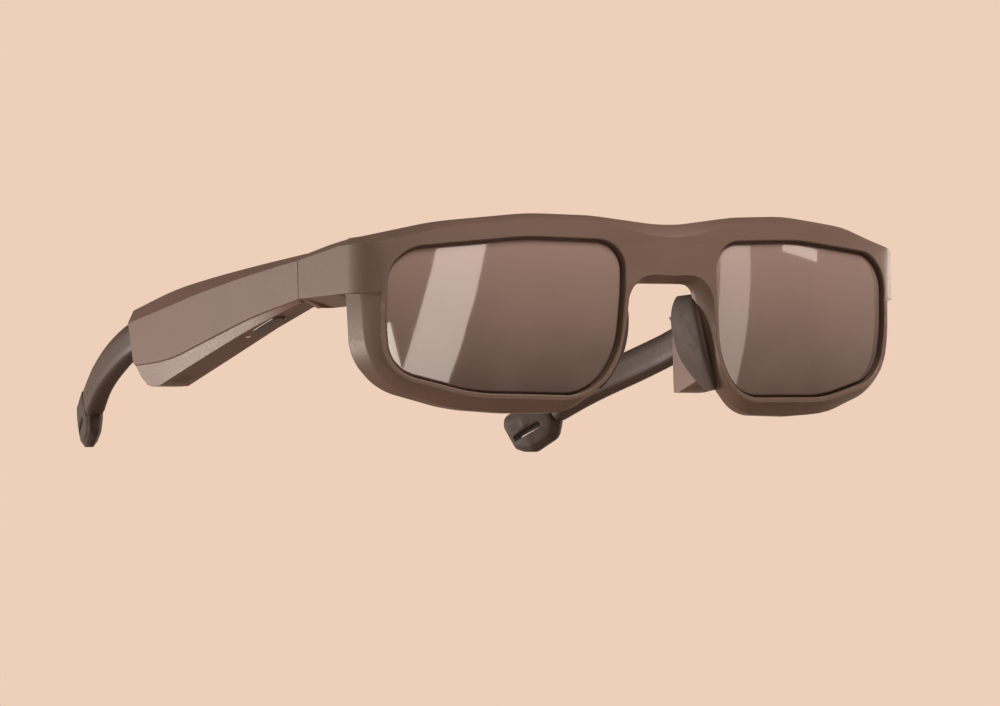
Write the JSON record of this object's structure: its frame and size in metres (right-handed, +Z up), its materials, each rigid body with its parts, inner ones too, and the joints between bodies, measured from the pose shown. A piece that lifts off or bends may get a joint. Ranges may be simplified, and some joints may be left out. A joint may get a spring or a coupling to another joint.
{
  "type": "smart glasses",
  "caption": "Smart glasses: tinted wraparound lenses in one moulded front, deep hollow temples that fold on barrel hinges, ear hooks with soft tips.",
  "frame": {"origin": "on the plane that the rims and tips rest on, under the middle of the whole object", "axes": "+X towards the wearer's left, -Y forward out of the lenses, +Z up"},
  "size_m": [0.1504, 0.1718, 0.0455],
  "materials": {
    "frame_plastic": "fine-grained satin moulding, warm grey-brown",
    "tinted_lens": "polished brown-grey tint",
    "soft_grip": "soft matte",
    "hook_plastic": "satin moulding",
    "hinge_steel": "brushed",
    "screw_steel": "turned",
    "key_plastic": "smooth satin",
    "inner_plastic": "moulded black",
    "board": "solder resist",
    "shield_metal": "tinned sheet",
    "cell_wrap": "foil pouch",
    "grille_metal": "dark satin paint",
    "light_pipe": "clear milky",
    "contact_gold": "gold plate"
  },
  "bodies": {
    "front": {"front_frame": "frame_plastic", "lens_left": "tinted_lens", "lens_right": "tinted_lens", "nose_pad_left": "soft_grip", "nose_pad_right": "soft_grip", "hinge_front_leaf_left": "hinge_steel", "hinge_front_leaf_right": "hinge_steel", "front_leaf_screws_left": "screw_steel", "front_leaf_screws_right": "screw_steel", "hinge_pin_left": "screw_steel", "hinge_pin_right": "screw_steel"},
    "left_temple": {"temple_shell_left": "frame_plastic", "temple_cover_left": "frame_plastic", "cover_screws_left": "screw_steel", "hinge_temple_leaf_left": "hinge_steel", "temple_leaf_screws_left": "screw_steel", "ear_hook_left": "hook_plastic", "hook_core_left": "hinge_steel", "ear_tip_left": "soft_grip", "key_switch_left": "inner_plastic", "circuit_board_left": "board", "radio_shield_left": "shield_metal", "battery_left": "cell_wrap", "speaker_left": "inner_plastic", "speaker_grille_left": "grille_metal", "microphone_left": "shield_metal", "light_pipe_left": "light_pipe", "charge_contacts_left": "contact_gold", "charge_magnets_left": "shield_metal"},
    "left_key": {"control_key_left": "key_plastic"},
    "right_temple": {"temple_shell_right": "frame_plastic", "temple_cover_right": "frame_plastic", "cover_screws_right": "screw_steel", "hinge_temple_leaf_right": "hinge_steel", "temple_leaf_screws_right": "screw_steel", "ear_hook_right": "hook_plastic", "hook_core_right": "hinge_steel", "ear_tip_right": "soft_grip", "key_switch_right": "inner_plastic", "circuit_board_right": "board", "radio_shield_right": "shield_metal", "battery_right": "cell_wrap", "speaker_right": "inner_plastic", "speaker_grille_right": "grille_metal", "microphone_right": "shield_metal", "light_pipe_right": "light_pipe", "charge_contacts_right": "contact_gold", "charge_magnets_right": "shield_metal"},
    "right_key": {"control_key_right": "key_plastic"}
  },
  "joints": [
    {"name": "left_temple_fold", "type": "hinge", "parent": "front", "child": "left_temple", "pos_m": [0.0652, -0.04, 0.033], "axis": [0, 0, 1], "range_deg": [0, 90]},
    {"name": "right_temple_fold", "type": "hinge", "parent": "front", "child": "right_temple", "pos_m": [-0.0652, -0.04, 0.033], "axis": [0, 0, -1], "range_deg": [0, 80]},
    {"name": "left_key_press", "type": "slide", "parent": "left_temple", "child": "left_key", "axis": [0, 0.2384, 0.9712], "range_m": [0, 0.0003], "stiffness_N_per_m": 400},
    {"name": "right_key_press", "type": "slide", "parent": "right_temple", "child": "right_key", "axis": [0, 0.2384, 0.9712], "range_m": [0, 0.0003], "stiffness_N_per_m": 400}
  ]
}
